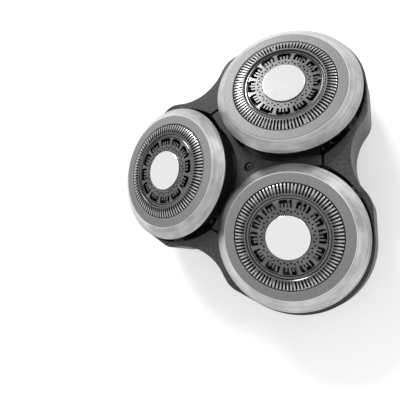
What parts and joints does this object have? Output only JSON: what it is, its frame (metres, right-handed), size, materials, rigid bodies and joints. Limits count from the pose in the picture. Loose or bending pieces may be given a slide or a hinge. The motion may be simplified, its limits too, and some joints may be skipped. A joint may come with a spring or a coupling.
{
  "type": "rotary shaver head",
  "caption": "Rotary shaver head: tilted cutting heads with slotted guards in a lobed frame, driven by gears from one centre socket.",
  "frame": {"origin": "on the unit's axis, at the bottom face of the coupling collar", "axes": "+Z out of the shaving side along the unit's axis; -X through the middle of the second head"},
  "size_m": [0.0573, 0.0614, 0.027],
  "materials": {
    "ring_aluminium": "brushed",
    "guard_steel": "polished",
    "cap_mirror": "polished",
    "cutter_steel": "satin",
    "hub_plastic": "satin",
    "holder_plastic": "satin",
    "retainer_steel": "satin",
    "gear_plastic": "satin",
    "tip_plastic": "satin",
    "spring_steel": "bright",
    "frame_plastic": "fine grained",
    "island_plastic": "fine grained",
    "screw_steel": "satin",
    "base_plastic": "satin",
    "plate_plastic": "satin"
  },
  "bodies": {
    "base": {"frame": "frame_plastic", "centre_island": "island_plastic", "centre_screw": "screw_steel", "base_housing": "base_plastic", "gear_plate": "plate_plastic", "plate_screws": "screw_steel", "housing_screws": "screw_steel"},
    "centre_gear": {"centre_gear": "gear_plastic"},
    "drive_gear_1": {"drive_gear_1": "gear_plastic", "tip_spring_1": "spring_steel"},
    "drive_tip_1": {"drive_tip_1": "tip_plastic"},
    "head_1": {"glide_ring_1": "ring_aluminium", "ring_holder_1": "holder_plastic", "retainer_1": "retainer_steel"},
    "guard_1": {"guard_1": "guard_steel", "cap_disc_1": "cap_mirror"},
    "cutter_1": {"cutter_1": "cutter_steel", "cutter_hub_1": "hub_plastic"},
    "drive_gear_2": {"drive_gear_2": "gear_plastic", "tip_spring_2": "spring_steel"},
    "drive_tip_2": {"drive_tip_2": "tip_plastic"},
    "head_2": {"glide_ring_2": "ring_aluminium", "ring_holder_2": "holder_plastic", "retainer_2": "retainer_steel"},
    "guard_2": {"guard_2": "guard_steel", "cap_disc_2": "cap_mirror"},
    "cutter_2": {"cutter_2": "cutter_steel", "cutter_hub_2": "hub_plastic"},
    "drive_gear_3": {"drive_gear_3": "gear_plastic", "tip_spring_3": "spring_steel"},
    "drive_tip_3": {"drive_tip_3": "tip_plastic"},
    "head_3": {"glide_ring_3": "ring_aluminium", "ring_holder_3": "holder_plastic", "retainer_3": "retainer_steel"},
    "guard_3": {"guard_3": "guard_steel", "cap_disc_3": "cap_mirror"},
    "cutter_3": {"cutter_3": "cutter_steel", "cutter_hub_3": "hub_plastic"}
  },
  "joints": [
    {"name": "centre_gear_spin", "type": "hinge", "parent": "base", "child": "centre_gear", "pos_m": [0, 0, 0.0075], "axis": [0, 0, 1], "continuous": true},
    {"name": "drive_gear_1_spin", "type": "hinge", "parent": "base", "child": "drive_gear_1", "pos_m": [0.0084, 0.01455, 0.0075], "axis": [0, 0, 1], "continuous": true},
    {"name": "head_1_tilt", "type": "hinge", "parent": "base", "child": "head_1", "pos_m": [0.0084, 0.01455, 0.01997], "axis": [-0.866, 0.5, 0], "range_deg": [-6, 6], "stiffness_Nm_per_rad": 0.02},
    {"name": "guard_1_float", "type": "slide", "parent": "head_1", "child": "guard_1", "axis": [0.125, 0.2165, 0.9682], "range_m": [-0.0006, 0], "stiffness_N_per_m": 800, "springref_m": 0.0012},
    {"name": "cutter_1_spin", "type": "hinge", "parent": "guard_1", "child": "cutter_1", "pos_m": [0.00892, 0.01545, 0.024], "axis": [0.125, 0.2165, 0.9682], "continuous": true},
    {"name": "drive_tip_1_slide", "type": "slide", "parent": "drive_gear_1", "child": "drive_tip_1", "axis": [0, 0, 1], "range_m": [-0.0006, 0], "deforming": ["tip_spring_1"]},
    {"name": "drive_gear_2_spin", "type": "hinge", "parent": "base", "child": "drive_gear_2", "pos_m": [-0.0168, 0, 0.0075], "axis": [0, 0, 1], "continuous": true},
    {"name": "head_2_tilt", "type": "hinge", "parent": "base", "child": "head_2", "pos_m": [-0.0168, 0, 0.01997], "axis": [0, -1, 0], "range_deg": [-6, 6], "stiffness_Nm_per_rad": 0.02},
    {"name": "guard_2_float", "type": "slide", "parent": "head_2", "child": "guard_2", "axis": [-0.25, 0, 0.9682], "range_m": [-0.0006, 0], "stiffness_N_per_m": 800, "springref_m": 0.0012},
    {"name": "cutter_2_spin", "type": "hinge", "parent": "guard_2", "child": "cutter_2", "pos_m": [-0.01784, 0, 0.024], "axis": [-0.25, 0, 0.9682], "continuous": true},
    {"name": "drive_tip_2_slide", "type": "slide", "parent": "drive_gear_2", "child": "drive_tip_2", "axis": [0, 0, 1], "range_m": [-0.0006, 0], "deforming": ["tip_spring_2"]},
    {"name": "drive_gear_3_spin", "type": "hinge", "parent": "base", "child": "drive_gear_3", "pos_m": [0.0084, -0.01455, 0.0075], "axis": [0, 0, 1], "continuous": true},
    {"name": "head_3_tilt", "type": "hinge", "parent": "base", "child": "head_3", "pos_m": [0.0084, -0.01455, 0.01997], "axis": [0.866, 0.5, 0], "range_deg": [-6, 6], "stiffness_Nm_per_rad": 0.02},
    {"name": "guard_3_float", "type": "slide", "parent": "head_3", "child": "guard_3", "axis": [0.125, -0.2165, 0.9682], "range_m": [-0.0006, 0], "stiffness_N_per_m": 800, "springref_m": 0.0012},
    {"name": "cutter_3_spin", "type": "hinge", "parent": "guard_3", "child": "cutter_3", "pos_m": [0.00892, -0.01545, 0.024], "axis": [0.125, -0.2165, 0.9682], "continuous": true},
    {"name": "drive_tip_3_slide", "type": "slide", "parent": "drive_gear_3", "child": "drive_tip_3", "axis": [0, 0, 1], "range_m": [-0.0006, 0], "deforming": ["tip_spring_3"]}
  ],
  "couplings": [
    {"joint": "drive_gear_1_spin", "follows": "centre_gear_spin", "ratio": -0.6},
    {"joint": "cutter_1_spin", "follows": "centre_gear_spin", "ratio": -0.6},
    {"joint": "drive_tip_1_slide", "follows": "guard_1_float", "ratio": 1},
    {"joint": "drive_gear_2_spin", "follows": "centre_gear_spin", "ratio": -0.6},
    {"joint": "cutter_2_spin", "follows": "centre_gear_spin", "ratio": -0.6},
    {"joint": "drive_tip_2_slide", "follows": "guard_2_float", "ratio": 1},
    {"joint": "drive_gear_3_spin", "follows": "centre_gear_spin", "ratio": -0.6},
    {"joint": "cutter_3_spin", "follows": "centre_gear_spin", "ratio": -0.6},
    {"joint": "drive_tip_3_slide", "follows": "guard_3_float", "ratio": 1}
  ]
}
